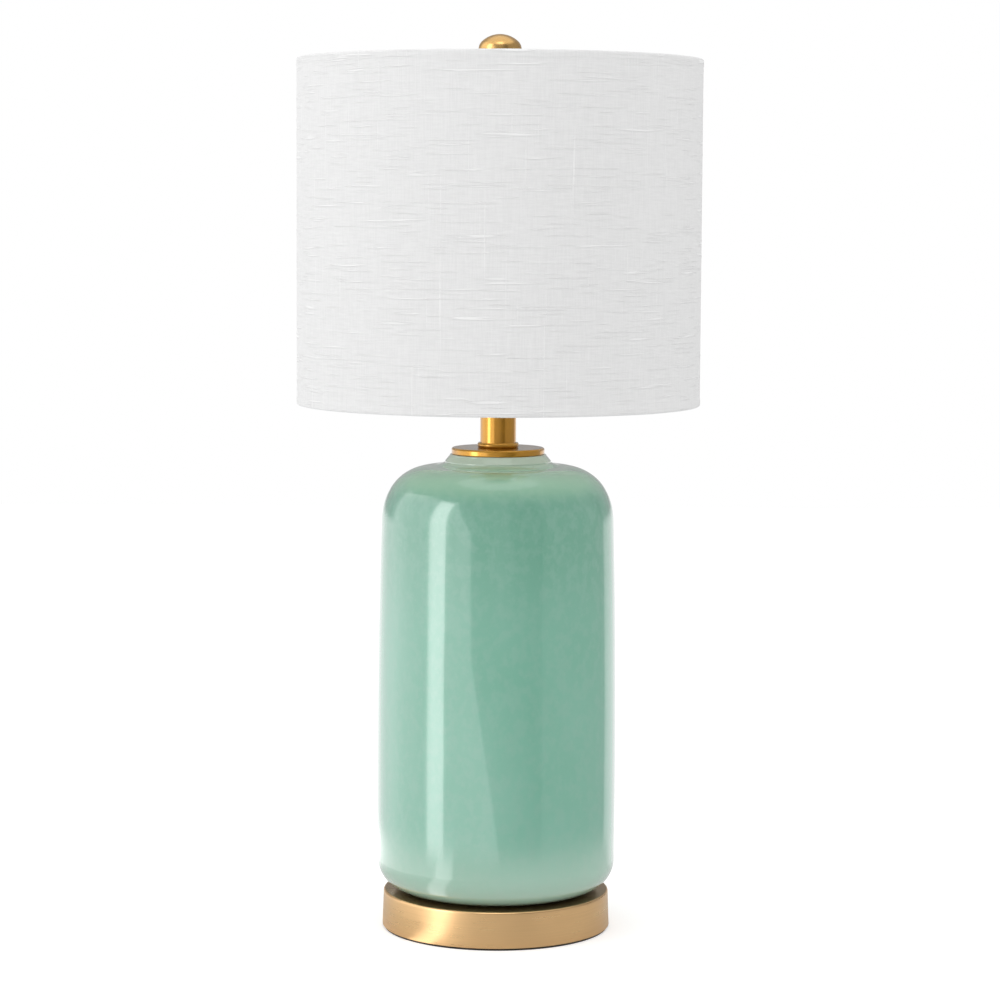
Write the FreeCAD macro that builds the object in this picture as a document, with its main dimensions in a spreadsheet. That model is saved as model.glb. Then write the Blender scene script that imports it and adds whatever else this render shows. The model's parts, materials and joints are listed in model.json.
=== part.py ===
import FreeCAD, Part

import math
import os
import re

import Sketcher

# A table lamp: a glazed jar on a round brushed base, a drum shade on a harp.
# Millimetres, +Z up, origin under the middle of the base, -Y is the front.

# ------------------------------------------------------------------ driving dimensions

SIZES = {
    # base
    "pad_radius": 78.6,
    "pad_thickness": 1.6,
    "base_bottom_radius": 79.8,
    "base_top_radius": 79.0,
    "base_top_z": 26.5,
    "base_edge_round": 1.6,
    "shell_wall": 1.5,
    "ballast_radius": 74.5,
    "ballast_bottom_z": 14,
    "grommet_z": 9,
    "grommet_hole_radius": 5,
    "grommet_bore_radius": 3.4,
    "grommet_flange_radius": 7.2,
    "grommet_inner_y": 75.4,
    "grommet_groove_start_y": 77.5,
    "grommet_groove_end_y": 79.9,
    "grommet_outer_y": 82.2,
    # lamp pipe and the nuts that clamp the stack on it
    "pipe_radius": 5.15,
    "pipe_bore_radius": 3.6,
    "pipe_bottom_z": 8,
    "pipe_top_z": 386,
    "pipe_hole_radius": 5.4,
    "washer_radius": 15,
    "washer_thickness": 1.6,
    "nut_corner_radius": 9.2,
    "nut_thickness": 3.5,
    # jar
    "gasket_thickness": 1,
    "gasket_inner_radius": 44,
    "gasket_outer_radius": 59,
    "jar_foot_arc": 21,
    "jar_foot_arc_top_z": 48.5,
    "jar_widest_radius": 83.5,
    "jar_widest_z": 110,
    "jar_barrel_arc": 6440,
    "shoulder_start_z": 287.7,
    "shoulder_arc": 43.6,
    "shoulder_mid_radius": 74.71,
    "shoulder_mid_z": 309.16,
    "shoulder_top_arc": 32.3,
    "shoulder_top_radius": 47.12,
    "shoulder_top_z": 324.67,
    "lip_hollow_arc": 19.3,
    "lip_foot_radius": 36.9,
    "lip_foot_z": 327.6,
    "lip_edge": 0.8,
    "lip_top_radius": 33.8,
    "lip_round": 1,
    "mouth_radius": 27,
    "jar_wall": 6,
    "jar_inner_radius": 76.5,
    "jar_inner_shoulder_arc": 30,
    "jar_floor_thickness": 8,
    "jar_inner_corner": 16,
    # neck
    "cap_bottom_z": 333.1,
    "cap_radius": 32.4,
    "cap_thickness": 4.6,
    "cap_top_round": 1.5,
    "cap_bottom_round": 0.8,
    "cap_boss_radius": 26.2,
    "cap_boss_depth": 4,
    "ring_edge_radius": 13.6,
    "ring_bead_arc": 2.2,
    "ring_height": 3.5,
    "ring_recess_depth": 2,
    "tube_radius": 12.5,
    "tube_wall": 1,
    "tube_top_z": 372.1,
    "bushing_flange": 1.5,
    "bushing_boss_depth": 4,
    # harp saddle
    "saddle_thickness": 1.5,
    "saddle_width": 12,
    "saddle_bend": 4,
    "leg_x": 27,
    "saddle_shoulder_z": 386,
    "saddle_tab_width": 4,
    "saddle_tab_top_z": 396,
    # socket
    "hub_radius": 7.5,
    "hub_height": 4.7,
    "dish_start_radius": 9.5,
    "socket_cap_radius": 17.9,
    "socket_cap_top_z": 397,
    "sheet_thickness": 0.8,
    "set_screw_radius": 1.4,
    "set_screw_head_radius": 1.9,
    "socket_bottom_z": 390.6,
    "socket_shell_radius": 16.9,
    "socket_shell_top_z": 437,
    "socket_rim_radius": 14.9,
    "liner_radius": 16,
    "liner_thickness": 0.7,
    "insulator_radius": 15.1,
    "insulator_top_z": 408,
    "insulator_flat_x": 12.5,
    "screw_shell_radius": 14.3,
    "screw_shell_wall": 0.7,
    "screw_shell_top_z": 434,
    "screw_shell_hole_radius": 8,
    "contact_width": 6,
    "contact_thickness": 0.6,
    "terminal_screw_radius": 2.2,
    "terminal_screw_z": 399,
    "switch_z": 401.5,
    "switch_shaft_radius": 1.8,
    "switch_hole_radius": 2.4,
    "switch_shaft_inner_y": 6,
    "switch_shaft_outer_y": 33,
    "knob_start_y": 22,
    "knob_end_y": 36,
    "knob_radius": 5.2,
    "knob_flutes": 12,
    # bulb
    "bulb_tip_z": 413,
    "bulb_tip_radius": 4.6,
    "bulb_tip_height": 1.8,
    "bulb_cap_bottom_z": 417.5,
    "bulb_cap_top_z": 441,
    "bulb_cap_radius": 13.1,
    "bulb_cap_root_radius": 12.3,
    "bulb_cap_wall": 0.4,
    "bulb_thread_pitch": 3.6,
    "bulb_housing_top_z": 468,
    "bulb_housing_top_radius": 27,
    "bulb_housing_wall": 1.6,
    "bulb_radius": 30,
    "bulb_centre_z": 493,
    "bulb_glass": 1.2,
    "light_board_thickness": 1.6,
    # harp
    "harp_wire_radius": 2,
    "harp_foot_radius": 3,
    "harp_foot_length": 12,
    "fit_gap": 0.1,
    "slot_gap": 0.2,
    "ferrule_bore_radius": 3.3,
    "ferrule_radius": 4.4,
    "ferrule_length": 18,
    "harp_top_z": 584,
    "harp_flare_radius": 45,
    "harp_flare_angle": 38,
    "harp_side_radius": 70,
    "harp_close_angle": 28,
    "harp_corner_radius": 10,
    "harp_top_half": 6.5,
    "harp_block_radius": 6,
    "harp_block_height": 8,
    "stud_flange_radius": 6.5,
    "stud_flange_top_z": 591,
    "stud_radius": 3.1,
    "stud_top_z": 603,
    # shade
    "shade_radius": 139.7,
    "shade_bottom_z": 368,
    "shade_height": 237,
    "linen_thickness": 0.6,
    "shade_liner_thickness": 0.6,
    "edge_strip_thickness": 0.6,
    "edge_strip_turn": 2.6,
    "frame_wire_radius": 1.5,
    "hub_washer_radius": 14,
    "hub_washer_thickness": 2,
    "hub_washer_hole_radius": 3.5,
    "arm_count": 3,
    "arm_bend": 14,
    "arm_inner_bend_radius": 104,
    "arm_outer_bend_radius": 124,
    "arm_weld": 0.3,
    # finial
    "finial_flange_radius": 7,
    "finial_flange_height": 1.8,
    "finial_neck_radius": 4.6,
    "finial_bore_radius": 3.2,
    "finial_centre_z": 612.1,
    "finial_radius": 14.8,
    "finial_half_height": 10.3,
    "finial_side_round": 7.4,
}

# Heights and radii that follow from them, used by more than one piece.
SHELL_UNDERSIDE = "(base_top_z - shell_wall)"
JAR_BOTTOM = "(base_top_z + gasket_thickness)"
CAP_TOP = "(cap_bottom_z + cap_thickness)"
RING_TOP = f"({CAP_TOP} + ring_height)"
TUBE_BOTTOM = f"({RING_TOP} - ring_recess_depth)"
SADDLE_BOTTOM = "(tube_top_z + bushing_flange)"
SADDLE_TOP = f"({SADDLE_BOTTOM} + saddle_thickness)"
SOCKET_CAP_BOTTOM = f"({SADDLE_TOP} + nut_thickness)"
FOOT_BOTTOM = "(saddle_shoulder_z + fit_gap)"
FOOT_TOP = f"({FOOT_BOTTOM} + harp_foot_length)"
HUB_BOTTOM = "(stud_flange_top_z + fit_gap)"
HUB_TOP = f"({HUB_BOTTOM} + hub_washer_thickness)"
FINIAL_BOTTOM = f"({HUB_TOP} + fit_gap)"
SHADE_TOP = "(shade_bottom_z + shade_height)"
LINER_OUTER = "(shade_radius - linen_thickness)"
LINER_INNER = f"({LINER_OUTER} - shade_liner_thickness)"
FRAME_RADIUS = f"({LINER_INNER} - fit_gap - frame_wire_radius)"
FRAME_DEPTH = "(edge_strip_thickness + frame_wire_radius)"

doc = FreeCAD.newDocument("table_lamp")
sheet = doc.addObject("Spreadsheet::Sheet", "Dims")
for row, (name, size) in enumerate(SIZES.items(), 1):
    sheet.set(f"A{row}", name)
    sheet.set(f"B{row}", str(size))
    sheet.setAlias(f"B{row}", name)
doc.recompute()

pieces = []


# ------------------------------------------------------------------ drawing helpers

def value(text):
    """A size, or a sum of sizes, as a number."""
    return float(sheet.evalExpression(text))


def bind(thing, prop, text):
    """Ties a property of an object to the sheet."""
    named = re.sub(r"[a-z_]+", lambda word: "Dims." + word[0] if word[0] in SIZES else word[0], text)
    thing.setExpression(prop, named)


def keep(piece, label):
    """Names a finished piece and puts it on the list that is written out."""
    piece.Label = label
    pieces.append(piece)
    return piece


def plane_of(body, role):
    return next(plane for plane in body.Origin.OriginFeatures if plane.Role == role)


def new_sketch(body, role, offset=None):
    """An empty sketch on one of the body's own planes, moved along its normal by offset."""
    sketch = body.newObject("Sketcher::SketchObject", body.Name + "_sketch")
    sketch.AttachmentSupport = [(plane_of(body, role), "")]
    sketch.MapMode = "FlatFace"
    if offset is not None:
        bind(sketch, "AttachmentOffset.Base.z", offset)
    return sketch


def hold(sketch, kind, text, *where):
    """Adds a dimension whose value comes from the sheet."""
    index = sketch.addConstraint(Sketcher.Constraint(kind, *where, value(text)))
    bind(sketch, f"Constraints[{index}]", text)


def place(sketch, geometry, end, x, y):
    """Holds one end of a line or arc at (x, y)."""
    for text, kind, axis in ((x, "DistanceX", -2), (y, "DistanceY", -1)):
        if text == "0":
            sketch.addConstraint(Sketcher.Constraint("PointOnObject", geometry, end, axis))
        else:
            hold(sketch, kind, text, -1, 1, geometry, end)


def arc_between(start, finish, radius, turn):
    """The arc of under half a circle that turns left or right on its way from start to finish."""
    chord = finish - start
    side = 1 if turn == "left" else -1
    normal = FreeCAD.Vector(-chord.y, chord.x, 0).normalize() * side
    centre = (start + finish) / 2 + normal * math.sqrt(radius ** 2 - (chord.Length / 2) ** 2)
    first, last = (start, finish) if turn == "left" else (finish, start)
    angles = [math.atan2(point.y - centre.y, point.x - centre.x) for point in (first, last)]
    circle = Part.Circle(centre, FreeCAD.Vector(0, 0, 1), radius)
    return Part.ArcOfCircle(circle, *angles)


def trace(sketch, outline, closed=True):
    """Draws an outline. Each point is (x, y), reached by a line, or (x, y, turn, radius),
    reached by an arc. A closed outline ends with a line back to its first point."""
    points = [FreeCAD.Vector(value(step[0]), value(step[1]), 0) for step in outline]
    steps = list(zip(points, points[1:], outline[1:]))
    if closed:
        steps.append((points[-1], points[0], outline[0]))
    ends = []
    for start, finish, step in steps:
        if len(step) == 4:
            turn, radius = step[2:]
            index = sketch.addGeometry(arc_between(start, finish, value(radius), turn))
            hold(sketch, "Radius", radius, index)
            ends.append((index, 1, 2) if turn == "left" else (index, 2, 1))
        else:
            index = sketch.addGeometry(Part.LineSegment(start, finish))
            ends.append((index, 1, 2))
    for (index, _, last), (following, first, _) in zip(ends, ends[1:]):
        sketch.addConstraint(Sketcher.Constraint("Coincident", index, last, following, first))
    if closed:
        index, _, last = ends[-1]
        sketch.addConstraint(Sketcher.Constraint("Coincident", index, last, ends[0][0], ends[0][1]))
    for (index, first, _), step in zip(ends, outline):
        place(sketch, index, first, step[0], step[1])
    if not closed:
        index, _, last = ends[-1]
        place(sketch, index, last, outline[-1][0], outline[-1][1])


def ring_outline(inner, outer, bottom, top):
    return [(inner, bottom), (outer, bottom), (outer, top), (inner, top)]


def draw_circle(sketch, x, y, radius):
    centre = FreeCAD.Vector(value(x), value(y), 0)
    index = sketch.addGeometry(Part.Circle(centre, FreeCAD.Vector(0, 0, 1), value(radius)))
    place(sketch, index, 3, x, y)
    hold(sketch, "Radius", radius, index)


def turned(label, outline, listed=True):
    """A piece turned about the Z axis from an outline of (radius, height) points."""
    body = doc.addObject("PartDesign::Body", label)
    sketch = new_sketch(body, "XZ_Plane")
    trace(sketch, outline)
    turning = body.newObject("PartDesign::Revolution", label + "_turning")
    turning.Profile = sketch
    turning.ReferenceAxis = (sketch, ["V_Axis"])
    turning.Angle = 360
    return keep(body, label) if listed else body


def washer(label, inner, outer, bottom, top):
    return turned(label, ring_outline(inner, outer, bottom, top))


def pad(body, sketch, length, symmetric=False):
    feature = body.newObject("PartDesign::Pad", body.Name + "_pad")
    feature.Profile = sketch
    feature.SideType = "Symmetric" if symmetric else "One side"
    bind(feature, "Length", length)
    return feature


def cut(body, sketch, length, towards_normal, symmetric=False):
    """Cuts a pocket and checks that it took something away."""
    doc.recompute()
    before = body.Shape.Volume
    feature = body.newObject("PartDesign::Pocket", body.Name + "_pocket")
    feature.Profile = sketch
    feature.SideType = "Symmetric" if symmetric else "One side"
    feature.Reversed = towards_normal
    bind(feature, "Length", length)
    doc.recompute()
    if not body.Shape.Volume < before - 0.01:
        raise RuntimeError(body.Label + ": a pocket cut nothing")
    return feature


def bent_wire(body, radius, start_role, start_offset, across, path):
    """A round wire, swept along an open path in the XZ plane. Its section lies on the plane
    start_role, start_offset along it and across sideways, where the path begins."""
    spine = new_sketch(body, "XZ_Plane")
    trace(spine, path, closed=False)
    section = new_sketch(body, start_role, start_offset)
    if start_role == "XY_Plane":
        draw_circle(section, across, "0", radius)
    else:
        draw_circle(section, "0", across, radius)
    doc.recompute()
    wire = body.newObject("PartDesign::AdditivePipe", body.Name + "_sweep")
    wire.Profile = section
    wire.Spine = (spine, [])
    return wire


def point_along_y(piece, height, backwards):
    """Lays a piece drawn about Z along the Y axis instead, towards the back or the front."""
    turn = FreeCAD.Rotation(FreeCAD.Vector(1, 0, 0), -90 if backwards else 90)
    piece.Placement = FreeCAD.Placement(FreeCAD.Vector(), turn)
    bind(piece, "Placement.Base.z", height)


def hex_nut(label, bottom):
    """A hexagonal locknut on the lamp pipe."""
    blank = doc.addObject("Part::Prism", label + "_blank")
    blank.Polygon = 6
    bind(blank, "Circumradius", "nut_corner_radius")
    bind(blank, "Height", "nut_thickness")
    bore = doc.addObject("Part::Cylinder", label + "_bore")
    bind(bore, "Radius", "pipe_radius")
    bind(bore, "Height", "nut_thickness")
    nut = doc.addObject("Part::Cut", label)
    nut.Base = blank
    nut.Tool = bore
    bind(nut, "Placement.Base.z", bottom)
    return keep(nut, label)


# ------------------------------------------------------------------ base

def make_base():
    washer("felt_pad", "0", "pad_radius", "0", "pad_thickness")

    shell = turned("base_shell", [
        ("base_bottom_radius", "pad_thickness"),
        ("base_top_radius", "base_top_z - base_edge_round"),
        ("base_top_radius - base_edge_round", "base_top_z", "left", "base_edge_round"),
        ("pipe_hole_radius", "base_top_z"),
        ("pipe_hole_radius", SHELL_UNDERSIDE),
        ("base_top_radius - shell_wall - base_edge_round", SHELL_UNDERSIDE),
        ("base_top_radius - shell_wall", SHELL_UNDERSIDE + " - base_edge_round",
         "right", "base_edge_round"),
        ("base_bottom_radius - shell_wall", "pad_thickness"),
    ])
    # The cord hole goes through the back wall only.
    hole = new_sketch(shell, "XZ_Plane")
    draw_circle(hole, "0", "grommet_z", "grommet_hole_radius")
    cut(shell, hole, "base_bottom_radius + shell_wall", towards_normal=False)

    washer("ballast_disc", "pipe_hole_radius", "ballast_radius", "ballast_bottom_z", SHELL_UNDERSIDE)
    washer("bottom_washer", "pipe_hole_radius", "washer_radius",
           "ballast_bottom_z - washer_thickness", "ballast_bottom_z")
    hex_nut("bottom_locknut", "ballast_bottom_z - washer_thickness - nut_thickness")
    washer("lamp_pipe", "pipe_bore_radius", "pipe_radius", "pipe_bottom_z", "pipe_top_z")

    grommet = turned("cord_grommet", [
        ("grommet_bore_radius", "grommet_inner_y"),
        ("grommet_flange_radius", "grommet_inner_y"),
        ("grommet_flange_radius", "grommet_groove_start_y"),
        ("grommet_hole_radius", "grommet_groove_start_y"),
        ("grommet_hole_radius", "grommet_groove_end_y"),
        ("grommet_flange_radius", "grommet_groove_end_y"),
        ("grommet_flange_radius - 1.5", "grommet_outer_y", "left", "3"),
        ("grommet_bore_radius", "grommet_outer_y"),
    ])
    point_along_y(grommet, "grommet_z", backwards=True)


# ------------------------------------------------------------------ jar

def make_jar():
    washer("jar_gasket", "gasket_inner_radius", "gasket_outer_radius", "base_top_z", JAR_BOTTOM)

    def barrel_radius(height):
        """The jar's gently bulging side is one long arc, widest at jar_widest_z."""
        return (f"(jar_widest_radius - jar_barrel_arc"
                f" + sqrt(jar_barrel_arc^2 - ({height} - jar_widest_z)^2))")

    side_start = barrel_radius("jar_foot_arc_top_z")
    inner_floor = f"({JAR_BOTTOM} + jar_floor_thickness)"
    hole = "(pipe_hole_radius + 1)"
    turned("jar", [
        (hole, JAR_BOTTOM),
        (f"{side_start} - jar_foot_arc", JAR_BOTTOM),
        (side_start, "jar_foot_arc_top_z", "left", "jar_foot_arc"),
        (barrel_radius("shoulder_start_z"), "shoulder_start_z", "left", "jar_barrel_arc"),
        ("shoulder_mid_radius", "shoulder_mid_z", "left", "shoulder_arc"),
        ("shoulder_top_radius", "shoulder_top_z", "left", "shoulder_top_arc"),
        ("lip_foot_radius", "lip_foot_z", "right", "lip_hollow_arc"),
        ("lip_foot_radius", "lip_foot_z + lip_edge"),
        ("lip_top_radius", "cap_bottom_z - lip_round"),
        ("lip_top_radius - lip_round", "cap_bottom_z", "left", "lip_round"),
        ("mouth_radius", "cap_bottom_z"),
        ("mouth_radius", "shoulder_top_z - jar_wall"),
        ("shoulder_top_radius", "shoulder_top_z - jar_wall"),
        ("jar_inner_radius - 1", "shoulder_start_z", "right", "jar_inner_shoulder_arc"),
        ("jar_inner_radius", f"{inner_floor} + jar_inner_corner"),
        ("jar_inner_radius - jar_inner_corner", inner_floor, "right", "jar_inner_corner"),
        (hole, inner_floor),
    ])


# ------------------------------------------------------------------ neck

def make_neck():
    turned("neck_cap", [
        ("pipe_hole_radius", "cap_bottom_z - cap_boss_depth"),
        ("cap_boss_radius", "cap_bottom_z - cap_boss_depth"),
        ("cap_boss_radius", "cap_bottom_z"),
        ("cap_radius - cap_bottom_round", "cap_bottom_z"),
        ("cap_radius", "cap_bottom_z + cap_bottom_round", "left", "cap_bottom_round"),
        ("cap_radius", f"{CAP_TOP} - cap_top_round"),
        ("cap_radius - cap_top_round", CAP_TOP, "left", "cap_top_round"),
        ("pipe_hole_radius", CAP_TOP),
    ])
    recess = "(tube_radius + fit_gap)"
    turned("neck_ring", [
        ("pipe_hole_radius", CAP_TOP),
        ("ring_edge_radius", CAP_TOP),
        ("ring_edge_radius", RING_TOP, "left", "ring_bead_arc"),
        (recess, RING_TOP),
        (recess, TUBE_BOTTOM),
        ("pipe_hole_radius", TUBE_BOTTOM),
    ])
    bore = "(tube_radius - tube_wall)"
    washer("neck_tube", bore, "tube_radius", TUBE_BOTTOM, "tube_top_z")
    turned("neck_bushing", [
        ("pipe_hole_radius", "tube_top_z - bushing_boss_depth"),
        (f"{bore} - fit_gap", "tube_top_z - bushing_boss_depth"),
        (f"{bore} - fit_gap", "tube_top_z"),
        ("tube_radius", "tube_top_z"),
        ("tube_radius", SADDLE_BOTTOM),
        ("pipe_hole_radius", SADDLE_BOTTOM),
    ])


# ------------------------------------------------------------------ harp saddle

def make_saddle():
    """A strip bent into a U, whose narrow upright tabs hold the harp's feet."""
    body = doc.addObject("PartDesign::Body", "harp_saddle")
    outer = "(leg_x + saddle_thickness / 2)"
    inner = "(leg_x - saddle_thickness / 2)"
    bend_start = f"({inner} - saddle_bend)"
    bend_top = f"({SADDLE_TOP} + saddle_bend)"
    outer_bend = "(saddle_bend + saddle_thickness)"
    strip = new_sketch(body, "XZ_Plane")
    trace(strip, [
        (f"-{bend_start}", SADDLE_BOTTOM, "left", outer_bend),
        (bend_start, SADDLE_BOTTOM),
        (outer, bend_top, "left", outer_bend),
        (outer, "saddle_shoulder_z"),
        (inner, "saddle_shoulder_z"),
        (inner, bend_top),
        (bend_start, SADDLE_TOP, "right", "saddle_bend"),
        (f"-{bend_start}", SADDLE_TOP),
        (f"-{inner}", bend_top, "right", "saddle_bend"),
        (f"-{inner}", "saddle_shoulder_z"),
        (f"-{outer}", "saddle_shoulder_z"),
        (f"-{outer}", bend_top),
    ])
    pad(body, strip, "saddle_width", symmetric=True)
    for side in ("", "-"):
        tab = new_sketch(body, "XZ_Plane")
        trace(tab, ring_outline(side + inner, side + outer, "saddle_shoulder_z", "saddle_tab_top_z"))
        pad(body, tab, "saddle_tab_width", symmetric=True)
    hole = new_sketch(body, "XY_Plane", SADDLE_BOTTOM)
    draw_circle(hole, "0", "0", "pipe_hole_radius")
    cut(body, hole, "saddle_thickness", towards_normal=True)
    keep(body, "harp_saddle")
    hex_nut("top_locknut", SADDLE_TOP)


# ------------------------------------------------------------------ socket

def make_socket():
    cup = "(socket_cap_radius - dish_start_radius)"
    dish_bottom = f"({SOCKET_CAP_BOTTOM} + hub_height - sheet_thickness)"
    dish_top = f"({SOCKET_CAP_BOTTOM} + hub_height)"
    cap = turned("socket_cap", [
        ("pipe_hole_radius", SOCKET_CAP_BOTTOM),
        ("hub_radius", SOCKET_CAP_BOTTOM),
        ("hub_radius", dish_bottom),
        ("dish_start_radius", dish_bottom),
        ("socket_cap_radius", f"{dish_bottom} + {cup}", "left", cup),
        ("socket_cap_radius", "socket_cap_top_z"),
        ("socket_cap_radius - sheet_thickness", "socket_cap_top_z"),
        ("socket_cap_radius - sheet_thickness", f"{dish_bottom} + {cup}"),
        ("dish_start_radius", dish_top, "right", f"({cup} - sheet_thickness)"),
        ("pipe_hole_radius", dish_top),
    ])
    set_screw_z = f"({SOCKET_CAP_BOTTOM} + set_screw_head_radius)"
    hole = new_sketch(cap, "XZ_Plane")
    draw_circle(hole, "0", set_screw_z, "set_screw_radius")
    cut(cap, hole, "hub_radius + 1", towards_normal=False)
    screw = turned("socket_set_screw", [
        ("0", "pipe_radius"),
        ("set_screw_radius", "pipe_radius"),
        ("set_screw_radius", "hub_radius + fit_gap"),
        ("set_screw_head_radius", "hub_radius + fit_gap"),
        ("set_screw_head_radius", "hub_radius + 1.6"),
        ("0", "hub_radius + 1.6"),
    ])
    point_along_y(screw, set_screw_z, backwards=True)

    rim_bend = "(socket_shell_radius - socket_rim_radius - sheet_thickness / 2)"
    bend_z = f"(socket_shell_top_z - {rim_bend})"
    shell_inner = "(socket_shell_radius - sheet_thickness)"
    shell = turned("socket_shell", [
        ("socket_shell_radius", "socket_bottom_z"),
        ("socket_shell_radius", bend_z),
        (f"socket_shell_radius - {rim_bend}", "socket_shell_top_z", "left", rim_bend),
        ("socket_rim_radius", "socket_shell_top_z"),
        ("socket_rim_radius", "socket_shell_top_z - sheet_thickness"),
        (f"socket_shell_radius - {rim_bend}", "socket_shell_top_z - sheet_thickness"),
        (shell_inner, bend_z, "right", f"({rim_bend} - sheet_thickness)"),
        (shell_inner, "socket_bottom_z"),
    ])
    liner = washer("socket_liner", "liner_radius - liner_thickness", "liner_radius",
                   "socket_bottom_z", f"{bend_z} - 1")
    insulator = washer("socket_insulator", "0", "insulator_radius", "socket_bottom_z", "insulator_top_z")
    for side in ("", "-"):
        recess = new_sketch(insulator, "XZ_Plane")
        trace(recess, ring_outline(side + "insulator_flat_x", side + "(insulator_radius + 1)",
                                   "terminal_screw_z - 4", "terminal_screw_z + 4"))
        cut(insulator, recess, "insulator_radius * 2 + 2", towards_normal=False, symmetric=True)
    shank_holes = new_sketch(insulator, "YZ_Plane")
    draw_circle(shank_holes, "0", "terminal_screw_z", "terminal_screw_radius / 2")
    cut(insulator, shank_holes, "insulator_flat_x * 2", towards_normal=False, symmetric=True)
    for body, radius in ((shell, "switch_hole_radius"), (liner, "switch_hole_radius"),
                         (insulator, "switch_shaft_radius + fit_gap")):
        hole = new_sketch(body, "XZ_Plane")
        draw_circle(hole, "0", "switch_z", radius)
        cut(body, hole, "socket_shell_radius + 1", towards_normal=True)

    make_terminal_screws()

    floor = "(insulator_top_z + screw_shell_wall)"
    inner = "(screw_shell_radius - screw_shell_wall)"
    turned("socket_screw_shell", [
        ("screw_shell_hole_radius", "insulator_top_z"),
        ("screw_shell_radius", "insulator_top_z"),
        ("screw_shell_radius", "screw_shell_top_z"),
        (inner, "screw_shell_top_z"),
        (inner, floor),
        ("screw_shell_hole_radius", floor),
    ])
    make_contact()


def make_terminal_screws():
    """Two wire screws, one on each side of the insulator."""
    screws = []
    for side, turn in (("left", -90), ("right", 90)):
        screw = turned("terminal_screw_" + side, [
            ("0", "insulator_flat_x - 4"),
            ("terminal_screw_radius / 2", "insulator_flat_x - 4"),
            ("terminal_screw_radius / 2", "insulator_flat_x"),
            ("terminal_screw_radius", "insulator_flat_x"),
            ("terminal_screw_radius", "insulator_flat_x + 1.6"),
            ("0", "insulator_flat_x + 1.6"),
        ], listed=False)
        sideways = FreeCAD.Rotation(FreeCAD.Vector(0, 1, 0), turn)
        screw.Placement = FreeCAD.Placement(FreeCAD.Vector(), sideways)
        bind(screw, "Placement.Base.z", "terminal_screw_z")
        screws.append(screw)
    pair = doc.addObject("Part::Compound", "socket_terminal_screws")
    pair.Links = screws
    keep(pair, "socket_terminal_screws")


def make_contact():
    """A spring strip folded back over itself, under the bulb's tip."""
    body = doc.addObject("PartDesign::Body", "socket_center_contact")
    top = "(bulb_tip_z - fit_gap)"
    middle = f"((insulator_top_z + {top}) / 2)"
    outer = f"(({top} - insulator_top_z) / 2)"
    inner = f"({outer} - contact_thickness)"
    fold = "(contact_width / 2)"
    strip = new_sketch(body, "XZ_Plane")
    trace(strip, [
        ("-contact_width", "insulator_top_z"),
        (fold, "insulator_top_z"),
        (f"{fold} + {outer}", middle, "left", outer),
        (fold, top, "left", outer),
        (f"-{fold}", top),
        (f"-{fold}", f"{top} - contact_thickness"),
        (fold, f"{top} - contact_thickness"),
        (f"{fold} + {inner}", middle, "right", inner),
        (fold, "insulator_top_z + contact_thickness", "right", inner),
        ("-contact_width", "insulator_top_z + contact_thickness"),
    ])
    pad(body, strip, "contact_width", symmetric=True)
    keep(body, "socket_center_contact")


def make_switch():
    shaft = washer("switch_shaft", "0", "switch_shaft_radius",
                   "switch_shaft_inner_y", "switch_shaft_outer_y")
    point_along_y(shaft, "switch_z", backwards=False)

    knob = turned("switch_knob", [
        ("switch_shaft_radius", "knob_start_y"),
        ("knob_radius - 1", "knob_start_y"),
        ("knob_radius", "knob_start_y + 1"),
        ("knob_radius", "knob_end_y - 1.5"),
        ("knob_radius - 1.5", "knob_end_y", "left", "1.5"),
        ("0", "knob_end_y"),
        ("0", "switch_shaft_outer_y"),
        ("switch_shaft_radius", "switch_shaft_outer_y"),
    ])
    groove = new_sketch(knob, "XY_Plane", "knob_start_y")
    draw_circle(groove, "knob_radius + 0.3", "0", "0.8")
    flute = cut(knob, groove, "knob_end_y - knob_start_y", towards_normal=True)
    ring = knob.newObject("PartDesign::PolarPattern", "switch_knob_flutes")
    ring.Originals = [flute]
    ring.Axis = (groove, ["N_Axis"])
    bind(ring, "Occurrences", "knob_flutes")
    knob.Tip = ring
    point_along_y(knob, "switch_z", backwards=False)


# ------------------------------------------------------------------ bulb

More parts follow.
